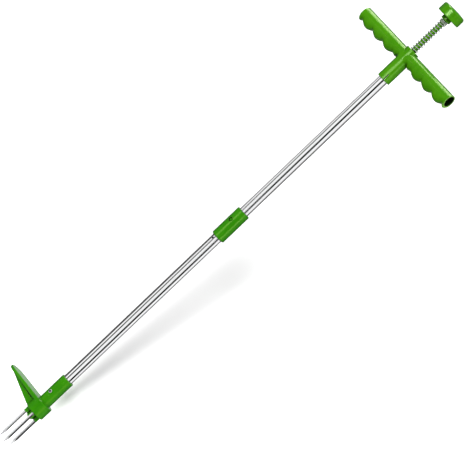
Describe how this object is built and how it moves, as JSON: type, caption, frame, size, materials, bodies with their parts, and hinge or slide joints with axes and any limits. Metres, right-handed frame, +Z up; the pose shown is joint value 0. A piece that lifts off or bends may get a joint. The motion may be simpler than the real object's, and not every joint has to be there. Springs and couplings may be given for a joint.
{
  "type": "stand up weeder",
  "caption": "Stand-up weeder: tined head with a foot pedal, two-piece steel shaft, T-handle and a sprung plunger that pushes an ejector down the tines.",
  "frame": {"origin": "on the shaft axis at the level of the tine points, where the tool enters the ground", "axes": "+Z up the shaft to the push knob, +X along the T-handle away from the foot pedal, which points to -X"},
  "size_m": [0.221, 0.043, 1],
  "materials": {
    "green_plastic": "moulded green polypropylene, glossy",
    "natural_plastic": "natural acetal, matte",
    "tine_steel": "ground steel rod",
    "polished_tube": "polished stainless steel tube",
    "rod_steel": "drawn steel",
    "spring_steel": "plated spring wire",
    "rivet_aluminium": "bright aluminium",
    "mandrel_steel": "dark steel"
  },
  "bodies": {
    "shaft_and_handle": {"pedal_head": "green_plastic", "coupling_sleeve": "green_plastic", "t_handle": "green_plastic", "rod_guide_bush": "natural_plastic", "prong_pedal_side": "tine_steel", "prong_right": "tine_steel", "prong_left": "tine_steel", "lower_tube": "polished_tube", "upper_tube": "polished_tube", "return_spring": "spring_steel", "head_rivet": "rivet_aluminium", "handle_rivet": "rivet_aluminium", "head_rivet_mandrel": "mandrel_steel", "handle_rivet_mandrel": "mandrel_steel"},
    "plunger": {"plunger_knob": "green_plastic", "plunger_rod": "green_plastic", "plunger_pin": "rod_steel", "upper_inner_rod": "rod_steel", "rod_end_stud": "rod_steel", "rod_joiner": "natural_plastic", "joiner_pin": "rod_steel", "lower_inner_rod": "rod_steel", "ejector": "green_plastic", "ejector_pin": "rod_steel"},
    "lock_button": {"snap_button": "green_plastic", "button_leaf_spring": "spring_steel"}
  },
  "joints": [
    {"name": "plunger_slide", "type": "slide", "parent": "shaft_and_handle", "child": "plunger", "axis": [0, 0, -1], "range_m": [0, 0.04], "stiffness_N_per_m": 500, "springref_m": -0.02, "deforming": ["return_spring"]},
    {"name": "button_press", "type": "slide", "parent": "shaft_and_handle", "child": "lock_button", "axis": [0.0872, 0.9962, 0], "range_m": [0, 0.0024], "stiffness_N_per_m": 1500, "springref_m": -0.001}
  ]
}
